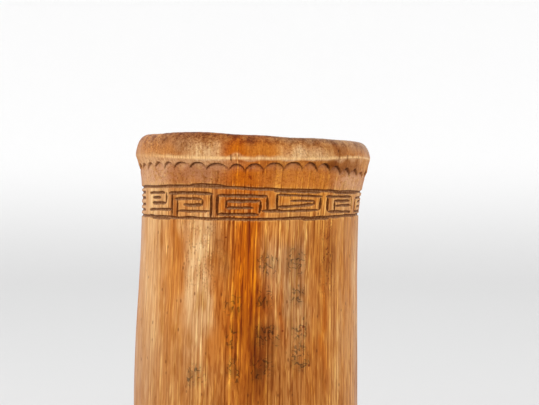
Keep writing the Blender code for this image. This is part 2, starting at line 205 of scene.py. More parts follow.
# Patches where the stain took differently, or wore, and some of painted sheen, highlight and shadow, as
# marked:
# tone, strength, angle, true height, half-width in degrees, half-height
PATCHES = (
    # The body. The pale patches at -62, -24 and 71 and the cream one at -23 are partly a painted sheen; the
    # last one darkens the wall all round towards the foot.
    ("pale", 0.7, -62, 0.1, 16, 0.075),
    ("dun", 0.3, -58, 0.058, 22, 0.02),
    ("amber", 0.6, -37, 0.11, 8, 0.03),
    ("cream", 0.55, -23, 0.105, 8, 0.034),
    ("pale", 0.7, -24, 0.1, 10, 0.04),
    ("amber", 0.7, -13, 0.09, 6, 0.034),
    ("russet", 0.95, -1, 0.11, 10, 0.075),
    ("russet", 0.6, 7, 0.08, 8, 0.04),
    ("umber", 0.68, 8, 0.062, 7, 0.02),
    ("umber", 0.16, 1, 0.072, 9, 0.022),
    ("dun", 0.6, 14, 0.104, 5, 0.014),
    ("dun", 0.75, 24, 0.099, 10, 0.029),
    ("amber", 0.5, 18, 0.1205, 9, 0.006),
    ("umber", 0.32, -14, 0.1115, 3.0, 0.012),
    ("umber", 0.26, -21, 0.121, 2.6, 0.004),
    ("russet", 0.6, 17.6, 0.084, 1.9, 0.014),
    ("amber", 0.6, 39, 0.095, 9, 0.05),
    ("russet", 0.65, 41.6, 0.078, 2.3, 0.024),
    ("cream", 0.35, 55, 0.085, 2.0, 0.04),
    ("pale", 0.6, 71, 0.09, 9, 0.06),
    ("umber", 0.13, 33, 0.098, 10, 0.045),
    ("umber", 0.5, 44, 0.109, 3.6, 0.012),
    ("honey", 0.6, 62, 0.09, 12, 0.06),
    ("umber", 0.2, 0, 0.035, 180, 0.044),
    # The neck and the band
    ("pale", 0.55, -62, 0.143, 16, 0.008),
    ("rose", 0.25, -30, 0.144, 20, 0.009),
    ("amber", 0.7, -24, 0.135, 10, 0.0075),
    ("umber", 0.16, -26, 0.143, 14, 0.01),
    ("umber", 0.22, -9, 0.133, 6, 0.006),
    ("umber", 0.2, 13, 0.144, 6, 0.006),
    ("umber", 0.34, 37, 0.144, 8, 0.006),
    ("pale", 0.75, 57, 0.145, 13, 0.0052),
    ("umber", 0.2, -10, 0.1465, 50, 0.004),
    ("pale", 0.35, 52, 0.133, 14, 0.006),
    ("russet", 0.9, -3, 0.142, 12, 0.012),
    ("amber", 0.85, 26, 0.142, 22, 0.01),
    # The undercut. The two umber patches at 52 and 40 are painted shadow.
    ("pale", 0.75, -50, 0.151, 40, 0.0026),
    ("umber", 0.6, 52, 0.1505, 15, 0.0024),
    ("umber", 0.85, 40, 0.1506, 4, 0.0018),
    # The lip's face and its worn ridge. The cream patches at -22, 26 and 27 and the cream band along the
    # ridge are partly a painted highlight.
    ("amber", 0.45, -58, 0.158, 18, 0.005),
    ("dun", 0.45, -50, 0.161, 18, 0.0032),
    ("rose", 0.45, -32, 0.1605, 14, 0.003),
    ("dun", 0.7, -34, 0.158, 5, 0.0036),
    ("cream", 0.65, -22, 0.156, 9, 0.0034),
    ("russet", 0.95, -7, 0.1574, 9, 0.0048),
    ("amber", 0.85, 7, 0.157, 9, 0.0048),
    ("cream", 0.75, 26, 0.1562, 10, 0.0032),
    ("umber", 0.4, 44, 0.1575, 8, 0.0036),
    ("cream", 0.45, 20, 0.1532, 62, 0.0009),
    ("cream", 0.55, 27, 0.1548, 9, 0.0022),
    # The top of the lip
    ("umber", 0.3, 20, 0.1638, 62, 0.0014),
    ("umber", 0.5, -26, 0.164, 22, 0.0032),
    ("umber", 0.32, -3, 0.1632, 14, 0.0028),
    ("ash", 0.8, 40, 0.1634, 34, 0.003),
    ("ash", 0.7, 68, 0.1612, 18, 0.0046),
    ("pale", 0.35, 62, 0.162, 14, 0.003),
)
# Where the fibres show more or less: change, angle, true height, half-width in degrees, half-height
STREAKED = (
    (0.34, 3, 0.095, 16, 0.062), (-0.28, -62, 0.095, 24, 0.08), (-0.42, -46, 0.146, 34, 0.0055),
    (0.24, 4, 0.145, 16, 0.005), (-0.26, 38, 0.146, 22, 0.0055), (-0.2, -26, 0.095, 12, 0.05),
    (0.2, 4, 0.112, 12, 0.012),
)
# Where the pores are filled with dirt: strength, angle, true height, half-width in degrees, half-height
SPECKLED = (
    (0.5, -22, 0.112, 13, 0.02), (0.75, -34, 0.144, 30, 0.0055), (0.45, 40, 0.1455, 20, 0.0045),
    (1.0, 44, 0.109, 5.0, 0.016), (0.95, -56, 0.16, 16, 0.0045), (0.95, -26, 0.16, 16, 0.0045),
    (0.8, 0, 0.1622, 24, 0.0022), (0.7, 28, 0.158, 16, 0.005), (0.35, -6, 0.14, 20, 0.008),
    (0.8, 150, 0.1, 24, 0.04), (0.8, 235, 0.08, 18, 0.03),
)
# Where writing has worn away to smudges, in columns: angle, true height of the top smudge, and how many
SMUDGES = ((-6, 0.087, 3), (9, 0.105, 4), (27, 0.1065, 4))
SMUDGE_PITCH = 0.0147
LONE_SMUDGE = (0.9, -24.5, 0.0565, 4.5, 0.0045)
# Small dark spots: angle, true height, radius
SPOTS = ((29.4, 0.0775, 0.0009), (18.3, 0.076, 0.0007), (-11.0, 0.118, 0.0006), (33.0, 0.06, 0.0008))


def srgb(*display):
    """A linear colour, with alpha, from red, green and blue display values from 0 to 255."""
    shares = [value / 255 for value in display]
    linear = [share / 12.92 if share <= 0.04045 else ((share + 0.055) / 1.055) ** 2.4 for share in shares]
    return (*linear, 1.0)


# ---- Shapes shared by the carving ----


def curve_through(points, spacing):
    """A smooth curve through 2-D points, as rows that lie spacing(height) apart."""
    points = np.array(points)
    run = np.concatenate([[0.0], np.cumsum(np.linalg.norm(np.diff(points, axis=0), axis=1))])
    slope = np.gradient(points, run, axis=0)
    fine = np.linspace(0.0, run[-1], 4000)
    left = np.clip(np.searchsorted(run, fine, side="right") - 1, 0, len(points) - 2)
    span = (run[left + 1] - run[left])[:, None]
    t = (fine - run[left])[:, None] / span
    curve = (
        (2 * t**3 - 3 * t**2 + 1) * points[left]
        + (t**3 - 2 * t**2 + t) * span * slope[left]
        + (3 * t**2 - 2 * t**3) * points[left + 1]
        + (t**3 - t**2) * span * slope[left + 1]
    )
    gaps = np.array([spacing(z) for z in curve[:, 1]])
    steps = np.concatenate([[0.0], np.cumsum(np.diff(fine) / gaps[1:])])
    count = max(2, round(steps[-1]))
    at = np.interp(np.linspace(0.0, steps[-1], count + 1), steps, fine)
    return np.stack([np.interp(at, fine, column) for column in curve.T], axis=1)


def around(heights, angle):
    """Reads a ring of evenly spaced values at angles in degrees, as a smooth closed curve through them."""
    ring = np.array(heights)
    place = (angle % 360) / 360 * len(ring)
    index = place.astype(int) % len(ring)
    t = place - np.floor(place)
    a, b, c, d = (ring[(index + k) % len(ring)] for k in (-1, 0, 1, 2))
    return b + 0.5 * t * (c - a + t * (2 * a - 5 * b + 4 * c - d + t * (3 * (b - c) + d - a)))


def angle_between(a, b):
    """From b to a the short way round, in degrees."""
    return (a - b + 180) % 360 - 180


def smooth(value, low, high):
    """0 below low, 1 above high, and a smooth step between."""
    t = np.clip((value - low) / (high - low), 0.0, 1.0)
    return t * t * (3 - 2 * t)


def ripples(angle, z, seed, turns, lengths, count=14):
    """Smooth random waves on the wall, about -1 to 1: turns is how many go round, lengths their heights."""
    rng = np.random.default_rng(seed)
    total = np.zeros_like(angle)
    for _ in range(count):
        around_pot = rng.integers(turns[0], turns[1] + 1)
        up = rng.uniform(-1, 1) * math.tau / rng.uniform(*lengths)
        total += np.cos(np.radians(angle) * around_pot + z * up + rng.uniform(0, math.tau))
    return total / math.sqrt(count)


# ---- The carving ----


def fret_strokes():
    """Every stroke of the fret, as two (angle, true height) ends, and then the overcuts."""
    strokes = []
    for left, right, kind in FRET:
        for u0, v0, u1, v1 in KEYS[kind]:
            start = (left + u0 * (right - left), LOWER_LINE_Z + v0 * BAND_HEIGHT)
            end = (left + u1 * (right - left), LOWER_LINE_Z + v1 * BAND_HEIGHT)
            strokes.append((start, end))
    for left, right, v in OVERCUTS:
        height = LOWER_LINE_Z + v * BAND_HEIGHT
        strokes.append(((left, height), (right, height)))
    return strokes


def notches():
    """The two cusps of every notch round the pot, in degrees."""
    first, last = FRONT_CUSPS[0] + 360, FRONT_CUSPS[-1]
    pitch = (first - last) / BACK_NOTCHES
    cusps = list(FRONT_CUSPS) + [last + pitch * (i + 1) for i in range(BACK_NOTCHES)]
    return list(zip(cusps, cusps[1:]))


def stroke_cut(angle, z, start, end, seed):
    """How deep one stroke cuts at each point, from 0 to about 1, the distance from its edge, and how much
    painted
    shade its colour gets there: the upper side of a level stroke, and all of an upright one."""
    rng = np.random.default_rng(seed)
    arc = math.radians(1) * FRET_RADIUS
    along = angle_between(angle, start[0]) * arc
    up = z - start[1]
    run = np.array([(end[0] - start[0]) * arc, end[1] - start[1]])
    length = float(np.hypot(*run))
    run = run / length
    ahead = along * run[0] + up * run[1]
    share = np.clip(ahead / length, 0.0, 1.0)
    bow = rng.uniform(-0.00016, 0.00016) * np.sin(share * math.pi)
    waver = 0.00006 * np.sin(share * length / 0.0011 + rng.uniform(0, math.tau))
    side = -along * run[1] + up * run[0] - bow - waver
    distance = np.hypot(side, ahead - share * length)
    taper = np.clip(np.minimum(share, 1 - share) * length / 0.0018, 0.0, 1.0)
    swell = 0.9 + 0.1 * np.sin(share * length / 0.0023 + rng.uniform(0, math.tau))
    half_width = STROKE_HALF_WIDTH * rng.uniform(0.88, 1.15) * (0.55 + 0.45 * np.sqrt(taper)) * swell
    cut = np.clip(1 - (distance / half_width) ** 2, 0.0, 1.0) ** 0.7
    level = abs(run[0]) ** 2
    upper = smooth(side * math.copysign(1, run[0]) / half_width, -0.5, 0.5)
    # Painted shade: all of an upright stroke, and the upper side of a level one.
    painted_shade = 1 - level * (1 - upper)
    return cut * (0.6 + 0.4 * taper) * rng.uniform(0.8, 1.15), distance - half_width, painted_shade


def line_cut(angle, z, height, seed):
    """The same for one of the two lines that run right round."""
    turns = ((5, 24), (60, 160), (9, 40), (6, 40))
    slow, fast, width, depth = (ripples(angle, z * 0, seed + k, turns[k], (1, 2)) for k in range(4))
    half_width = LINE_HALF_WIDTH * (1 + 0.12 * width)
    side = z - height - (0.00009 * slow + 0.00002 * fast)
    distance = np.abs(side)
    cut = np.clip(1 - (distance / half_width) ** 2, 0.0, 1.0) ** 0.7
    # The last value is painted shade on the line's upper side.
    return cut * (0.9 + 0.1 * depth), distance - half_width, smooth(side / half_width, -0.5, 0.5)


def scallop_cut(angle, z):
    """How deep the notches cut at each point, from 0 to about 1, how far above the scalloped edge it is, and
    how deep the stop cut along that edge is: deepest on the side that faces away from the front."""
    cut = np.zeros_like(angle)
    above = np.full_like(angle, 1.0)
    stop = np.zeros_like(angle)
    rng = np.random.default_rng(5)
    for left, right in notches():
        middle = (left + right) / 2
        share = angle_between(angle, middle) / ((right - left) / 2)
        inside = np.abs(share) <= 1.0
        top = SCALLOP_TOP_Z + rng.uniform(-0.0003, 0.0003)
        rise = SCALLOP_ARCH * rng.uniform(0.85, 1.25)
        arch = top - rise * (1 - np.sqrt(np.clip(1 - share**2, 0.0, 1.0)) ** 1.3)
        step = np.clip((arch - z) / 0.0002, 0.0, 1.0)
        ramp = np.clip((z - (top - SCALLOP_RUN)) / SCALLOP_RUN, 0.0, 1.0)
        depth = rng.uniform(0.85, 1.15) * (1 - 0.35 * share**2) * ramp**1.2
        cut = np.where(inside, np.maximum(cut, step * depth), cut)
        above = np.where(inside, np.minimum(above, z - arch), above)
        aside = angle_between(middle, 0)
        deepest = np.clip(aside / 70, -0.6, 0.6) + rng.uniform(-0.3, 0.3)
        fades = smooth(np.abs(share - deepest), rng.uniform(0.35, 0.65), 1.35)
        bite = rng.uniform(0.85, 1.0) * (1 - 0.35 * smooth(abs(aside), 38, 60))
        stop = np.where(inside, np.maximum(stop, bite * (1 - 0.65 * fades)), stop)
    return cut, above, stop


def crack_cut(angle, z):
    """How deep the cracks are at each point, from 0 to 1, and the distance from the nearest crack's edge."""
    cut = np.zeros_like(angle)
    near = np.full_like(angle, 1.0)
    for place, top in CRACKS:
        across = np.abs(angle_between(angle, place)) * math.radians(1) * LIP_RADIUS
        share = (z - RIDGE_Z + CRACK_START) / (top - RIDGE_Z + CRACK_START)
        half_width = CRACK_HALF_WIDTH * np.clip(1.6 * (1 - share), 0.0, 1.0)
        inside = (share > 0) & (share < 1)
        near = np.where(inside, np.minimum(near, across - half_width), near)
        cut = np.where(inside, np.maximum(cut, np.clip(1 - across / (half_width + 1e-6), 0.0, 1.0)), cut)
    return cut, near


def carve(angle, z):
    """Depths and masks of all the carving, at angles and true heights on the outside of the wall."""
    cuts = [stroke_cut(angle, z, *ends, 100 + index) for index, ends in enumerate(fret_strokes())]
    cuts += [line_cut(angle, z, height, seed) for seed, height in ((21, UPPER_LINE_Z), (31, LOWER_LINE_Z))]
    depth = np.zeros_like(angle)
    painted_shade = np.zeros_like(angle)
    near = np.full_like(angle, 1.0)
    # Each point takes the painted shade of the deepest cut there.
    for cut, edge, side in cuts:
        painted_shade = np.where(cut * STROKE_DEPTH > depth, side, painted_shade)
        depth = np.maximum(depth, cut * STROKE_DEPTH)
        near = np.minimum(near, edge)
    notch, above, stop = scallop_cut(angle, z)
    # The crease deepens the stop cut under the scalloped edge, and its mask darkens the colour there as
    # painted shade.
    crease = np.exp(-(((above + 0.00034) / 0.00046) ** 4)) * stop
    return {
        "crack": crack_cut(angle, z)[0],
        "groove_depth": depth,
        "groove_painted_shade": painted_shade,
        "groove_edge": near,
        "notch": notch,
        "above_scallops": above,
        "crease": crease,
    }


# ---- The wall ----


def row_spacing(z):
    heights, gaps = zip(*ROW_SPACING)
    return float(np.interp(z, heights, gaps))


def wall_rows():
    """The closed profile of the wall, as (radius, true height) rows."""
    outside = curve_through(OUTSIDE, row_spacing)
    inside = curve_through(INSIDE, lambda z: LIP_ROW_GAP if z > 0.15 else BORE_ROW_GAP)
    return np.concatenate([outside, np.array(FOOT), inside])


def skin(edit, lower, upper):
    """Joins two rings of vertices with faces."""
    for i in range(len(lower)):
        j = (i + 1) % len(lower)
        edit.faces.new((lower[i], lower[j], upper[j], upper[i]))


def turned_wall(rows):
    """The uncarved wall as a mesh to edit: a ring of columns for each row, closed into one solid."""
    turn = np.radians(np.arange(COLUMNS) * 360 / COLUMNS)
    ring = np.stack([np.sin(turn), -np.cos(turn)], axis=1)
    edit = bmesh.new()
    rings = [[edit.verts.new((radius * x, radius * y, z)) for x, y in ring] for radius, z in rows]
    for lower, upper in zip(rings[1:] + rings[:1], rings):
        skin(edit, lower, upper)
    return edit


def refine(edit, reach):
    """Splits each face that a fret stroke, a scallop's edge or a crack passes within reach of."""
    edit.faces.ensure_lookup_table()
    centres = np.array([face.calc_center_median() for face in edit.faces])
    angle = np.degrees(np.arctan2(centres[:, 0], -centres[:, 1]))
    z = centres[:, 2]
    radius = np.hypot(centres[:, 0], centres[:, 1])
    which = np.flatnonzero((radius > CARVED_RADIUS) & (z > LOWER_LINE_Z - 0.0015) & (z < 0.159))
    angle, z = angle[which], z[which]
    near = crack_cut(angle, z)[1]
    for index, (start, end) in enumerate(fret_strokes()):
        near = np.minimum(near, stroke_cut(angle, z, start, end, 100 + index)[1])
    carved = z < RIDGE_Z - 0.0006
    near = np.where(carved, np.minimum(near, np.abs(scallop_cut(angle, z)[1]) - 0.0001), near)
    chosen = [edit.faces[i] for i in which[near < reach]]
    edges = {edge for face in chosen for edge in face.edges}
    bmesh.ops.subdivide_edges(edit, edges=list(edges), cuts=1, use_grid_fill=True)


def warped(points):
    """Moves true points to the heights that each line has round the pot, and to the culm's lean."""
    x, y, z = points.T
    angle = np.degrees(np.arctan2(x, -y))
    knots = [(0.0, np.zeros_like(z)), (STILL_Z, np.full_like(z, STILL_Z))]
    knots += [(true, around(heights, angle)) for true, heights in LINE_HEIGHTS.items()]
    height = z + knots[-1][1] - RIM_Z
    for (low, low_height), (high, high_height) in reversed(list(zip(knots, knots[1:]))):
        share = (z - low) / (high - low)
        height = np.where(z <= high, low_height + (high_height - low_height) * share, height)
    lean = np.interp(z, *zip(*SWAY))
    return np.stack([x + lean, y, height], axis=1)


def store(mesh, name, values, kind="FLOAT", key="value"):
    data = mesh.attributes.new(name, kind, "POINT").data
    data.foreach_set(key, values.astype(np.float32).ravel())


def soft_patch(angle, z, centre, height, half_width, half_height):
    """1 in a patch's middle, falling off to 0 round it."""
    across = angle_between(angle, centre) / half_width
    up = (z - height) / half_height
    return np.exp(-(np.abs(across) ** 3) - np.abs(up) ** 3)


def toward(colour, tone, share):
    """Rows of colour, each mixed towards a tone by its own share."""
    return colour + (np.array(srgb(*TONES[tone])) - colour) * share[:, None]


def stained(angle, z):
    """The stain's colour at each point, as linear RGBA rows."""
    drift = 2.2 * ripples(angle, z, 61, (6, 30), (0.01, 0.05))
    rise = 0.0009 * ripples(angle, z, 62, (8, 40), (0.01, 0.05))
    colour = np.tile(srgb(*TONES["honey"]), (len(angle), 1))
    unseen = smooth(np.abs(angle_between(angle, 0)), 62, 95)
    for tone, seed, strength in DRIFTS:
        field = smooth(ripples(angle, z, seed, (2, 14), (0.06, 0.3)), 0.1, 1.4) * (0.15 + 0.85 * unseen)
        colour = toward(colour, tone, strength * field)
    for tone, strength, *place in PATCHES:
        colour = toward(colour, tone, strength * soft_patch(angle + drift, z + rise, *place))
    return colour


def streaks(angle, z):
    """How strongly the fibres show: most down the front, least beside it and on the sides of the neck."""
    strength = 0.66 + 0.1 * ripples(angle, z, 68, (2, 9), (0.1, 0.4))
    for change, *place in STREAKED:
        strength += change * soft_patch(angle, z, *place)
    return np.clip(strength, 0.0, 1.0)


def masked(angle, z, places):
    """The strongest of a list of patches at each point, with their edges shifted about a little."""
    drift = 2.0 * ripples(angle, z, 71, (6, 30), (0.01, 0.05))
    return np.max([strength * soft_patch(angle + drift, z, *place) for strength, *place in places], axis=0)


def smudged(angle, z):
    """Where the smudges are, each a little off its place in its column."""
    rng = np.random.default_rng(77)
    places = [LONE_SMUDGE]
    for column, top, count in SMUDGES:
        for row in range(count):
            middle = column + rng.uniform(-1.2, 1.2)
            height = top - row * SMUDGE_PITCH + rng.uniform(-0.001, 0.001)
            strength = rng.uniform(0.75, 1.0)
            places.append((strength, middle, height, rng.uniform(4.2, 5.4), rng.uniform(0.0045, 0.0058)))
    return masked(angle, z, places)


def wall_masks(angle, radius, z, carved):
    """What each part of the wall is, for its material, as values from 0 to 1."""
    outside = radius > OUTSIDE_RADIUS
    groove = np.clip(carved["groove_depth"] / STROKE_DEPTH, 0.0, 1.0)
    edge = carved["groove_edge"]
    beside = np.exp(-((edge / 0.00035) ** 2)) * (edge > 0)
    above = carved["above_scallops"]
    # A pale band just above the ridge, left off on the far left: worn wood and a painted highlight.
    no_ridge_mark = soft_patch(angle, z, -68, RIDGE_Z, 22, 0.01)
    ridge = np.exp(-(((z - RIDGE_Z - 0.0007) / 0.0006) ** 2)) * outside * (1 - 0.8 * no_ridge_mark)
    lip_face = smooth(z, RIDGE_Z - 0.0002, RIDGE_Z + 0.0006) * outside
    undercut = outside * (above > 0) * (above < 0.9) * smooth(z, 0.1462, 0.1475) * (1 - lip_face)
    return {
        "groove": groove * outside,
        # Painted shade in the grooves.
        "groove_painted_shade": carved["groove_painted_shade"],
        # A band beside the grooves' edges: worn wood with a painted highlight.
        "edge_wear_and_highlight": beside * outside * (z < 0.1415),
        "ridge": ridge,
        "undercut": undercut,
        "neck": outside * smooth(z, 0.14, 0.1425) * (1 - lip_face) * (above < 0),
        "notch": np.clip(carved["notch"], 0.0, 1.0),
        "crease": carved["crease"] * outside,
        "crack": np.clip(carved["crack"] * 1.6, 0.0, 1.0),
        "lip_top": smooth(z, 0.1572, 0.1612) * (radius > BORE_RADIUS + 0.0004),
        "lip_face": lip_face,
        "bore": (radius < 0.0462) * (z > 0.01) * (1 - smooth(z, 0.154, 0.1585)),
        "foot": 1 - smooth(z, 0.0002, 0.0016),
    }


def vertex_rows(mesh, name):
    """One vector for each vertex, such as its place or its normal, as rows."""
    rows = np.empty(len(mesh.vertices) * 3, np.float32)
    mesh.vertices.foreach_get(name, rows)
    return rows.reshape(-1, 3).astype(float)


def carved_surface(points, normals, angle, radius, z, carved):
    """Sinks the carving into the true wall, and gives it the unevenness of a hand-worked culm."""
    lip = smooth(z, 0.1515, 0.1545) * (radius > 0.0436)
    culm = (radius > CARVED_RADIUS) * (z > 0.003) * (1 - smooth(z, 0.12, 0.1255))
    lift = -carved["groove_depth"] - carved["notch"] * SCALLOP_DEPTH - carved["crease"] * CREASE_DEPTH
    lift -= carved["crack"] * CRACK_DEPTH
    lift += lip * 0.00012 * ripples(angle, z + radius, 41, (3, 14), (0.012, 0.03))
    lift += lip * 0.00003 * ripples(angle, z + radius, 43, (40, 110), (0.004, 0.01))
    lift += culm * 0.00009 * ripples(angle, z, 45, (8, 40), (0.15, 0.6))
    return warped(points + normals * lift[:, None])


def sharpen_foot(mesh, z):
    """Keeps the corners of the foot, the rebate and the peg holes crisp, and the rest smooth."""
    mesh.set_sharp_from_angle(angle=math.radians(40))
    ends = np.empty(len(mesh.edges) * 2, np.int32)
    mesh.edges.foreach_get("vertices", ends)
    low = z[ends.reshape(-1, 2)].max(axis=1) < 0.022
    sharp = np.empty(len(mesh.edges), bool)
    mesh.attributes["sharp_edge"].data.foreach_get("value", sharp)
    mesh.attributes["sharp_edge"].data.foreach_set("value", sharp & low)


def build_wall(material):
    """The wall is turned true, drilled, carved, and only then warped to the hand-cut culm."""
    edit = turned_wall(wall_rows())
    for reach in SPLIT_REACHES:
        refine(edit, reach)
    bmesh.ops.triangulate(edit, faces=edit.faces)
    wall = link("bamboo_wall", edit, material)
    drill_peg_holes(wall, WALL_HOLE_START, -FOOT_X)
    mesh = wall.data
    points = vertex_rows(mesh, "co")
    normals = vertex_rows(mesh, "normal")
    angle = np.degrees(np.arctan2(points[:, 0], -points[:, 1]))
    radius = np.hypot(points[:, 0], points[:, 1])
    z = points[:, 2]
    carved = carve(angle, z)
    for name in ("groove_depth", "notch", "crease", "crack"):
        carved[name] = carved[name] * (radius > CARVED_RADIUS)
    points = carved_surface(points, normals, angle, radius, z, carved)
    mesh.vertices.foreach_set("co", points.astype(np.float32).ravel())
    masks = wall_masks(angle, radius, z, carved)
    masks["streaky"] = streaks(angle, z)
    masks["speckled"] = masked(angle, z, SPECKLED)
    masks["smudged"] = smudged(angle, z)
    for name, values in masks.items():
        store(mesh, name, values)
    turn = np.radians(angle)
    unrolled = np.stack([np.sin(turn) * FRET_RADIUS, -np.cos(turn) * FRET_RADIUS, z], axis=1)
    store(mesh, "culm", unrolled, "FLOAT_VECTOR", "vector")
    store(mesh, "stain", stained(angle, z), "FLOAT_COLOR", "color")
    mesh.shade_smooth()
    sharpen_foot(mesh, z)
    return wall


def peg_place(number):
    """A peg's middle, its axis as a turn from +Z, its length and its radius."""
    low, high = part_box(f"floor_peg_{number}")
    centre = (low + high) / 2
    size = high - low
    outwards = Vector((centre.x - FOOT_X, centre.y, 0.0)).normalized()
    length = (size.x - size.z * abs(outwards.y)) / abs(outwards.x)
    return centre, outwards.to_track_quat("Z", "Y").to_matrix().to_4x4(), length, size.z / 2


def link(name, edit, material):
    """Makes a bmesh into an object of the scene, and frees it."""
    mesh = bpy.data.meshes.new(name)
    edit.to_mesh(mesh)
    edit.free()
    mesh.materials.append(material)
    mesh.shade_smooth()
    piece = bpy.data.objects.new(name, mesh)
    bpy.context.scene.collection.objects.link(piece)
    return piece


def drill_peg_holes(piece, bore_start, shift_x=0.0):
    """Bores a piece for the four pegs, from bore_start inside their outer ends out past them. The wall is
    drilled while it is still true, so its holes are shifted to a centre line at X = 0."""
    edit = bmesh.new()
    for number in range(1, 5):
        centre, turn, length, radius = peg_place(number)
        start = length / 2 - bore_start
        end = length / 2 + HOLE_OVERRUN
        shift = Matrix.Translation((0.0, 0.0, (start + end) / 2))
        place = Matrix.Translation(centre + Vector((shift_x, 0.0, 0.0))) @ turn @ shift
        bore = radius + FIT_GAP
        bmesh.ops.create_cone(
            edit, cap_ends=True, segments=32, radius1=bore, radius2=bore, depth=end - start, matrix=place
        )
    cutters = bpy.data.objects.new("peg_hole_cutters", bpy.data.meshes.new("peg_hole_cutters"))
    edit.to_mesh(cutters.data)
    edit.free()
    bpy.context.scene.collection.objects.link(cutters)
    boolean = piece.modifiers.new("peg_holes", "BOOLEAN")
    boolean.operation = "DIFFERENCE"
    boolean.solver = "MANIFOLD"
    boolean.object = cutters
    graph = bpy.context.evaluated_depsgraph_get()
    drilled = piece.evaluated_get(graph)
    drilled = bpy.data.meshes.new_from_object(drilled, preserve_all_data_layers=True, depsgraph=graph)
    piece.modifiers.clear()
    piece.data = drilled
    bpy.data.objects.remove(cutters)


# ---- The floor and its pegs ----


def build_floor(material):
    """A planed disc with eased edges, slightly dished on top by use."""
    low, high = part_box("floor_disc")
    radius = (high.x - low.x) / 2
    centre = (low + high) / 2
    top, bottom = high.z, low.z
    dish, planing = 0.0005, 0.00007
    profile = [(radius * share, bottom + 0.0002 * (1 - share**4)) for share in np.linspace(0.04, 0.98, 16)]
    profile += [(radius - 0.0004, bottom + 0.0001), (radius, bottom + 0.0005)]
    profile += [(radius, top - 0.003), (radius, top - 0.0006), (radius - 0.0002, top - 0.0002)]
    profile += [(radius - 0.0007, top)]
    profile += [(radius * share, top - dish * (1 - share**4)) for share in np.linspace(0.96, 0.04, 24)]
    edit = bmesh.new()
    steps = 96
    rings = []
    for reach, z in profile:
        ring = []
        for i in range(steps):
            turn = math.tau * i / steps
            x, y = reach * math.sin(turn), reach * math.cos(turn)
            planed = planing * (z > top - 0.001) * min(1.0, (radius - reach) / 0.003)
            z_here = z - planing + planed * math.cos(y / 0.0016)
            ring.append(edit.verts.new((centre.x + x, centre.y + y, z_here)))
        rings.append(ring)
    for lower, upper in zip(rings, rings[1:]):
        skin(edit, upper, lower)
    edit.faces.new(rings[0])
    edit.faces.new(reversed(rings[-1]))
    bmesh.ops.recalc_face_normals(edit, faces=edit.faces)
    return link("fitted_floor", edit, material)


def build_peg(number, material):
    """A whittled bamboo pin: ten uneven facets, tapering inwards, with a rounded head."""
    centre, turn, length, radius = peg_place(number)
    rng = np.random.default_rng(300 + number)
    facets = 10
    uneven = rng.uniform(0.93, 1.0, facets)
    sections = [(0.0, 0.8), (0.04, 0.86), (0.3, 0.89), (0.6, 0.93), (0.85, 0.97), (0.95, 0.98)]
    sections += [(0.975, 0.9), (0.992, 0.68), (1.0, 0.36)]
    edit = bmesh.new()
    rings = []
    for along, share in sections:
        ring = []
        for i in range(facets):
            angle = math.tau * i / facets
            reach = radius * share * uneven[i] * rng.uniform(0.985, 1.0)
            z = length * (along - 0.5)
            ring.append(edit.verts.new((reach * math.cos(angle), reach * math.sin(angle), z)))
        rings.append(ring)
    for lower, upper in zip(rings, rings[1:]):
        skin(edit, lower, upper)
    edit.faces.new(reversed(rings[0]))
    edit.faces.new(rings[-1])
    bmesh.ops.transform(edit, matrix=Matrix.Translation(centre) @ turn, verts=edit.verts)
    peg = link(f"whittled_peg_{number}", edit, material)
    peg.data.set_sharp_from_angle(angle=math.radians(32))
    return peg


# ---- Materials ----


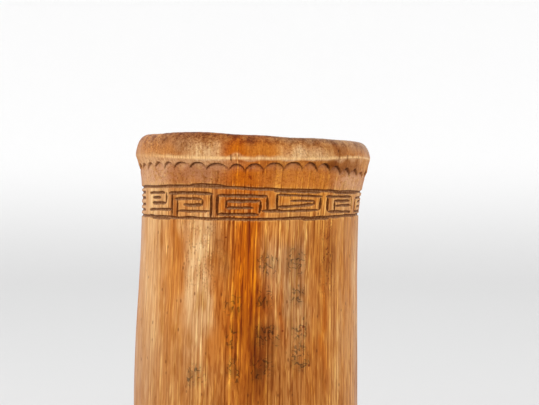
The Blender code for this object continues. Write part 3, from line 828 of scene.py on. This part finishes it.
class Shader:
    """A material's nodes, with short calls for the ones that these materials share."""

    def __init__(self, name):
        self.material = bpy.data.materials.new(name)
        self.material.use_nodes = True
        self.tree = self.material.node_tree
        self.surface = self.tree.nodes["Principled BSDF"]
        self.place = self.tree.nodes.new("ShaderNodeTexCoord").outputs["Object"]
        self.solid = self.place

    def feed(self, socket, value):
        if isinstance(value, bpy.types.NodeSocket):
            self.tree.links.new(value, socket)
        else:
            socket.default_value = value

    def fill(self, node, **inputs):
        """Feeds a node's inputs: underscores in a name stand for spaces."""
        for name, value in inputs.items():
            self.feed(node.inputs[name.replace("_", " ")], value)
        return node

    def add(self, kind, **inputs):
        """Adds a node, with some of its inputs."""
        return self.fill(self.tree.nodes.new("ShaderNode" + kind), **inputs)

    def attribute(self, name, output="Fac"):
        node = self.add("Attribute")
        node.attribute_name = name
        return node.outputs[output]

    def mapped(self, width, length, offset):
        """The coordinates in use, scaled so that one unit is width across and length along Z."""
        scale = (1 / width, 1 / width, 1 / length)
        shift = (offset, offset * 1.7, offset * 0.6)
        return self.add("Mapping", Vector=self.place, Scale=scale, Location=shift).outputs["Vector"]

    def noise(self, width, length, offset, detail=2.0, roughness=0.5):
        place = self.mapped(width, length, offset)
        node = self.add("TexNoise", Vector=place, Scale=1.0, Detail=detail, Roughness=roughness)
        return node.outputs["Fac"]

    def cells(self, width, length, offset):
        """The distance from the nearest of a scatter of points, about one to a unit."""
        node = self.add("TexVoronoi", Vector=self.mapped(width, length, offset), Scale=1.0)
        return node.outputs["Distance"]

    def spot(self, angle, height, reach):
        """1 within about half of reach of a place on the culm, and 0 beyond it."""
        node = self.add("VectorMath")
        node.operation = "DISTANCE"
        turn = math.radians(angle)
        self.feed(node.inputs[0], self.place)
        node.inputs[1].default_value = (FRET_RADIUS * math.sin(turn), -FRET_RADIUS * math.cos(turn), height)
        return self.spread(node.outputs["Value"], reach, reach * 0.5)

    def spread(self, value, low, high, to_low=0.0, to_high=1.0):
        """Maps low..high onto to_low..to_high with a smooth step, and holds both ends."""
        node = self.add("MapRange", Value=value, From_Min=low, From_Max=high, To_Min=to_low, To_Max=to_high)
        node.interpolation_type = "SMOOTHSTEP"
        return node.outputs["Result"]

    def math(self, operation, first, second=0.0):
        node = self.add("Math")
        node.operation = operation
        self.feed(node.inputs[0], first)
        self.feed(node.inputs[1], second)
        return node.outputs["Value"]

    def times(self, *values):
        product = values[0]
        for value in values[1:]:
            product = self.math("MULTIPLY", product, value)
        return product

    def mix(self, factor, first, second, blend="MIX"):
        node = self.add("Mix")
        node.data_type = "RGBA"
        node.blend_type = blend
        node.clamp_factor = True
        self.feed(node.inputs[0], factor)
        self.feed(node.inputs[6], first)
        self.feed(node.inputs[7], second)
        return node.outputs[2]

    def tint(self, colour, tone, *factors):
        """Multiplies a colour by a tone, channel by channel, as far as the product of the factors says."""
        return self.mix(self.times(*factors), colour, (*tone, 1.0), "MULTIPLY")

    def bump(self, height, distance, strength, **normal):
        node = self.add("Bump", Height=height, Distance=distance, Strength=strength, **normal)
        return node.outputs["Normal"]


def fibres(s):
    """The culm's fibres along Z, from fine to broad, each about 0.5 on average."""
    fine = s.noise(0.00085, 0.045, 11.3, roughness=0.6)
    middle = s.noise(0.003, 0.06, 7.7, detail=3.0, roughness=0.65)
    cloud = s.noise(0.0052, 0.02, 3.1, detail=3.0, roughness=0.6)
    return fine, middle, cloud


def fibrous(s, colour, fine, middle, cloud):
    """Breaks up the stain: soft clouds, then darker and lighter fibres, some long and some broken."""
    streaky = s.attribute("streaky")
    colour = s.tint(colour, (0.84, 0.73, 0.52), s.spread(cloud, 0.5, 0.7))
    colour = s.tint(colour, (1.12, 1.28, 1.45), s.spread(cloud, 0.5, 0.28, 0.0, 0.8))
    colour = s.tint(colour, (0.72, 0.56, 0.34), streaky, s.spread(middle, 0.52, 0.66))
    colour = s.tint(colour, (0.5, 0.34, 0.16), streaky, s.spread(fine, 0.5, 0.66))
    dashes = s.noise(0.001, 0.0085, 41.0)
    colour = s.tint(colour, (0.66, 0.5, 0.32), streaky, s.spread(dashes, 0.52, 0.66))
    light_lines = s.spread(s.noise(0.00095, 0.12, 21.9, detail=1.0), 0.56, 0.65)
    broken = s.spread(s.noise(0.0014, 0.014, 23.0, detail=1.0), 0.32, 0.54, 0.3, 1.0)
    colour = s.tint(colour, (1.62, 2.15, 2.4), light_lines, broken, streaky)
    light_dashes = s.spread(s.noise(0.00085, 0.011, 25.0), 0.55, 0.67)
    return s.tint(colour, (1.46, 1.8, 1.9), light_dashes, streaky)


def dirt(s, colour):
    """Dark pores in the speckled patches, stray spots, and grey smudges where the writing has worn away."""
    area = s.attribute("speckled")
    pores = s.spread(s.cells(0.001, 0.0013, 9.0), 0.5, 0.27)
    chosen = s.spread(s.noise(0.003, 0.005, 51.0), 0.42, 0.54)
    grime = s.spread(s.noise(0.0024, 0.005, 52.0), 0.42, 0.6)
    colour = s.tint(colour, (0.78, 0.64, 0.5), area, grime)
    colour = s.mix(s.times(pores, chosen, area, 0.8), colour, srgb(98, 44, 12))
    stray = s.spread(s.cells(0.0046, 0.009, 19.0), 0.13, 0.05)
    colour = s.mix(s.times(stray, 0.6), colour, srgb(98, 46, 16))
    for spot in SPOTS:
        colour = s.mix(s.times(s.spot(*spot), 0.8), colour, srgb(112, 38, 8))
    smudge = s.attribute("smudged")
    veil = s.spread(s.noise(0.003, 0.004, 57.0), 0.4, 0.6)
    colour = s.tint(colour, (0.64, 0.72, 0.82), veil, smudge)
    wisp = s.math("ABSOLUTE", s.math("SUBTRACT", s.noise(0.003, 0.0027, 53.0, detail=1.0), 0.5))
    broken = s.spread(s.noise(0.0014, 0.002, 55.0, detail=1.0), 0.4, 0.52)
    marks = s.times(s.spread(wisp, 0.06, 0.02), broken, s.spread(smudge, 0.15, 0.55))
    return s.tint(colour, (0.42, 0.46, 0.54), marks)


def lip_colours(s, colour, stain):
    """Open end grain on the lip, a worn ridge with a painted highlight, and a dull undercut in painted shade
    with a greyish painted reflection, and a dusty neck below it.
    """
    grain = s.noise(0.0008, 0.001, 61.0, roughness=0.7)
    mottle = s.noise(0.004, 0.003, 67.0, detail=5.0, roughness=0.75)
    top = s.attribute("lip_top")
    face = s.attribute("lip_face")
    colour = s.mix(s.times(face, 0.6), colour, s.tint(stain, (0.84, 0.8, 0.78), face))
    colour = s.tint(colour, (0.66, 0.54, 0.42), face, s.spread(grain, 0.52, 0.68), 0.75)
    colour = s.tint(colour, (1.16, 1.26, 1.3), face, s.spread(grain, 0.46, 0.34), 0.6)
    colour = s.mix(s.times(top, 0.55), colour, s.tint(stain, (0.86, 0.8, 0.74), top))
    bundles = s.spread(s.cells(0.0011, 0.0011, 65.0), 0.4, 0.2)
    colour = s.tint(colour, (0.52, 0.38, 0.26), top, bundles, 0.8)
    colour = s.tint(colour, (0.62, 0.5, 0.36), top, s.spread(mottle, 0.44, 0.6))
    colour = s.mix(s.times(top, s.spread(mottle, 0.48, 0.34), 0.3), colour, srgb(210, 152, 88))
    colour = s.tint(colour, (0.84, 0.72, 0.54), face, s.spread(mottle, 0.5, 0.64))
    fleck = s.noise(0.0011, 0.001, 75.0, detail=3.0, roughness=0.75)
    flecked = s.times(face, s.attribute("speckled"))
    colour = s.tint(colour, (0.6, 0.46, 0.32), flecked, s.spread(fleck, 0.51, 0.6))
    colour = s.tint(colour, (1.14, 1.24, 1.14), flecked, s.spread(fleck, 0.47, 0.38))
    dashes = s.spread(s.noise(0.0008, 0.004, 63.0, detail=1.0), 0.42, 0.6)
    # The ridge is worn pale and also carries a painted highlight.
    wear_and_highlight = s.times(s.attribute("ridge"), s.math("ADD", s.times(dashes, 0.6), 0.4))
    colour = s.mix(wear_and_highlight, colour, srgb(246, 200, 138))
    undercut = s.attribute("undercut")
    # The undercut is greyed as a painted reflection of the pale floor, and a little darkened as painted
    # shade.
    colour = s.mix(s.times(undercut, 0.5), colour, s.tint(stain, (1.05, 1.12, 1.5), 0.7))
    dusty = s.spread(s.noise(0.0026, 0.0022, 77.0, detail=4.0, roughness=0.65), 0.42, 0.54)
    neck = s.attribute("neck")
    colour = s.mix(s.times(neck, dusty, 0.75), colour, s.tint(stain, (0.97, 0.97, 1.4), 0.8))
    colour = s.tint(colour, (0.8, 0.66, 0.52), neck, s.spread(fleck, 0.51, 0.6))
    scuffs = s.noise(0.0014, 0.0012, 69.0, detail=3.0, roughness=0.7)
    return s.tint(colour, (0.76, 0.64, 0.54), undercut, s.spread(scuffs, 0.48, 0.64))


def carved_colours(s, colour, fine):
    """Dust in the notches; the grooves in darker browns, with painted shade on their upper sides and in
    upright strokes and a paler, greyer painted reflection low in level ones; painted shade in the creases,
    and darker cracks; and the wood worn pale along the groove edges, with a painted highlight.
    """
    floor = s.spread(s.noise(0.0008, 0.0014, 71.0, detail=1.0), 0.35, 0.65)
    dust = s.spread(s.noise(0.0016, 0.0014, 73.0, detail=3.0, roughness=0.7), 0.4, 0.6, 0.35, 0.85)
    colour = s.mix(s.times(s.attribute("notch"), dust), colour, srgb(196, 138, 98))
    # Painted shade in the creases under the scalloped edge, and the cracks darkened with the same tone.
    crease_shade_and_cracks = s.math("MAXIMUM", s.attribute("crease"), s.attribute("crack"))
    colour = s.tint(colour, (0.28, 0.2, 0.14), crease_shade_and_cracks)
    # The groove edges are worn pale and painted as catching the light.
    wear_and_highlight = s.times(s.attribute("edge_wear_and_highlight"), s.spread(fine, 0.6, 0.4))
    colour = s.mix(s.times(wear_and_highlight, 0.55), colour, srgb(236, 172, 96))
    # The groove floors' two tones: the paler, greyer one is a painted reflection low in level strokes, and
    # the dark one is painted shade on their upper sides and in upright strokes.
    light = s.mix(floor, srgb(132, 84, 46), srgb(162, 118, 80))
    painted_shade = s.mix(floor, srgb(76, 31, 5), srgb(108, 55, 16))
    groove = s.mix(s.attribute("groove_painted_shade"), light, painted_shade)
    return s.mix(s.spread(s.attribute("groove"), 0.08, 0.6, 0.0, 0.94), colour, groove)


def bamboo():
    """The wall's stained bamboo. The fibres follow the unrolled culm, and the rest is the same all ways."""
    s = Shader("old_bamboo")
    s.place = s.attribute("culm", "Vector")
    stain = s.attribute("stain", "Color")
    fine, middle, cloud = fibres(s)
    colour = fibrous(s, stain, fine, middle, cloud)
    colour = dirt(s, colour)
    s.place = s.solid
    colour = lip_colours(s, colour, stain)
    colour = carved_colours(s, colour, fine)
    inner = s.math("ADD", s.times(middle, 0.5), s.times(fine, 0.5))
    raw = s.mix(s.spread(inner, 0.36, 0.64), srgb(214, 158, 100), srgb(184, 124, 74))
    raw = s.tint(raw, (0.8, 0.68, 0.56), s.spread(cloud, 0.45, 0.7, 0.0, 0.6))
    colour = s.mix(s.attribute("bore"), colour, raw)
    dots = s.spread(s.cells(0.0014, 0.0014, 5.0), 0.35, 0.18)
    end_grain = s.mix(dots, srgb(176, 128, 80), srgb(88, 50, 26))
    colour = s.mix(s.attribute("foot"), colour, end_grain)

    dull = s.attribute("groove")
    for part in ("bore", "foot", "undercut", "notch"):
        dull = s.math("MAXIMUM", dull, s.attribute(part))
    roughness = s.math("ADD", s.spread(cloud, 0.3, 0.7, 0.3, 0.46), s.times(dull, 0.3))
    normal = s.bump(s.math("ADD", s.times(fine, 0.6), s.times(middle, 0.4)), 0.00035, 0.45)
    grain = s.noise(0.0008, 0.0011, 61.0, roughness=0.7)
    open_grain = s.times(grain, s.math("MAXIMUM", s.attribute("lip_top"), dull))
    normal = s.bump(open_grain, 0.0005, 0.6, Normal=normal)
    s.fill(s.surface, Base_Color=colour, Roughness=roughness, Normal=normal, Specular_IOR_Level=0.08)
    return s.material


def floor_wood():
    """Flat-sawn softwood with its grain along X, darkened with age."""
    s = Shader("aged_floor_wood")
    along = s.add("Mapping", Vector=s.place, Scale=(12, 210, 210)).outputs["Vector"]
    grain = s.add("TexNoise", Vector=along, Scale=1.0, Detail=5.0, Distortion=0.6).outputs["Fac"]
    stains = s.noise(0.016, 0.016, 83.0, detail=3.0)
    pits = s.spread(s.noise(0.0007, 0.0007, 85.0), 0.6, 0.7)
    colour = s.mix(s.spread(grain, 0.34, 0.66), srgb(92, 56, 32), srgb(164, 112, 68))
    colour = s.tint(colour, (0.5, 0.44, 0.42), s.spread(stains, 0.48, 0.64))
    colour = s.tint(colour, (0.66, 0.6, 0.56), pits)
    normal = s.bump(grain, 0.0004, 0.6)
    s.fill(s.surface, Base_Color=colour, Roughness=s.spread(stains, 0.3, 0.7, 0.74, 0.55), Normal=normal)
    return s.material


def peg_wood():
    """Split bamboo: pale, with the dark dots of its fibre bundles."""
    s = Shader("peg_bamboo")
    body = s.noise(0.0012, 0.0012, 91.0, detail=3.0)
    dots = s.spread(s.cells(0.00055, 0.00055, 93.0), 0.36, 0.2)
    colour = s.mix(s.spread(body, 0.35, 0.65), srgb(132, 82, 42), srgb(196, 140, 82))
    colour = s.tint(colour, (0.52, 0.42, 0.34), dots, 0.8)
    roughness = s.spread(body, 0.3, 0.7, 0.45, 0.62)
    s.fill(s.surface, Base_Color=colour, Roughness=roughness, Normal=s.bump(body, 0.0003, 0.5))
    return s.material


def paper():
    """Matte paper, darker low down and whiter up the wall as painted shade, with a faint painted glow."""
    s = Shader("white_cove")
    # Painted shade: darker where the cove is low, whiter as it climbs.
    climb = s.spread(s.add("SeparateXYZ", Vector=s.place).outputs["Z"], -0.05, 0.24)
    tooth = s.noise(0.004, 0.004, 1.0)
    white = s.tint(s.mix(climb, srgb(216, 216, 216), srgb(252, 252, 252)), (0.99, 0.99, 0.99), tooth)
    s.fill(s.surface, Base_Color=white, Roughness=0.9, Specular_IOR_Level=0.1)
    # A faint painted glow all over the paper.
    s.fill(s.surface, Emission_Color=(1.0, 1.0, 1.0, 1.0), Emission_Strength=0.02)
    return s.material


# ---- The stage ----


def backdrop():
    """A round white cove: a flat floor that curves up into a wall all round."""
    floor_radius, cove_radius, wall_height = 1.6, 1.0, 1.05
    profile = [(0.0005, 0.0), (0.15, 0.0), (0.6, 0.0), (floor_radius, 0.0)]
    for degrees in np.linspace(3.75, 90, 24):
        turn = math.radians(degrees)
        profile.append((floor_radius + cove_radius * math.sin(turn), cove_radius * (1 - math.cos(turn))))
    profile.append((floor_radius + cove_radius, wall_height))
    edit = bmesh.new()
    sides = 96
    ring = [(math.sin(math.tau * i / sides), math.cos(math.tau * i / sides)) for i in range(sides)]
    rings = [[edit.verts.new((radius * x, radius * y, z)) for x, y in ring] for radius, z in profile]
    for lower, upper in zip(rings, rings[1:]):
        skin(edit, upper, lower)
    edit.faces.new(rings[0])
    bmesh.ops.recalc_face_normals(edit, faces=edit.faces)
    cove = link("cove", edit, paper())
    cove.location.z = -0.0001  # just clear of the foot


def softbox(name, azimuth, distance, height, width, tall, power):
    """A large soft light that faces the pot. Azimuth 0 is behind the camera, and 90 is to the right."""
    light = bpy.data.lights.new(name, "AREA")
    light.shape = "RECTANGLE"
    light.size = width
    light.size_y = tall
    light.energy = power
    lamp = bpy.data.objects.new(name, light)
    turn = math.radians(azimuth)
    lamp.location = (distance * math.sin(turn), -distance * math.cos(turn), height)
    aim = Vector((0.0, 0.0, 0.1)) - lamp.location
    lamp.rotation_euler = aim.to_track_quat("-Z", "Y").to_euler()
    lamp.visible_camera = False
    bpy.context.scene.collection.objects.link(lamp)


def lighting():
    softbox("left_softbox", -58, 1.1, 0.55, 0.8, 1.0, 2.5)
    softbox("right_softbox", 66, 1.1, 0.45, 0.7, 1.0, 1.0)
    softbox("top_softbox", -10, 0.55, 1.3, 1.0, 1.0, 2.0)
    world = bpy.data.worlds.new("studio")
    world.use_nodes = True
    sky = world.node_tree.nodes["Background"]
    sky.inputs["Color"].default_value = (1.0, 1.0, 1.0, 1.0)
    sky.inputs["Strength"].default_value = 1.0
    bpy.context.scene.world = world
    bpy.context.scene.view_settings.view_transform = "Standard"


def camera():
    """Level with the pot's shoulder, and a little to its right."""
    data = bpy.data.cameras.new("camera")
    data.sensor_width = 36.0
    data.lens = 94.6  # millimetres, like the sensor's width
    eye = bpy.data.objects.new("camera", data)
    eye.location = (0.0079, -0.68, 0.1331)
    eye.rotation_euler = (math.radians(90), 0.0, 0.0)
    bpy.context.scene.collection.objects.link(eye)
    bpy.context.scene.camera = eye


# ---- The pot ----

wall = build_wall(bamboo())
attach(wall, "root")
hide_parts("culm_wall")

fitted_floor = build_floor(floor_wood())
drill_peg_holes(fitted_floor, FLOOR_HOLE_START)
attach(fitted_floor, "root")
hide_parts("floor_disc")

peg_material = peg_wood()
for number in range(1, 5):
    peg = build_peg(number, peg_material)
    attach(peg, "root")
    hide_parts(f"floor_peg_{number}")

backdrop()
lighting()
camera()
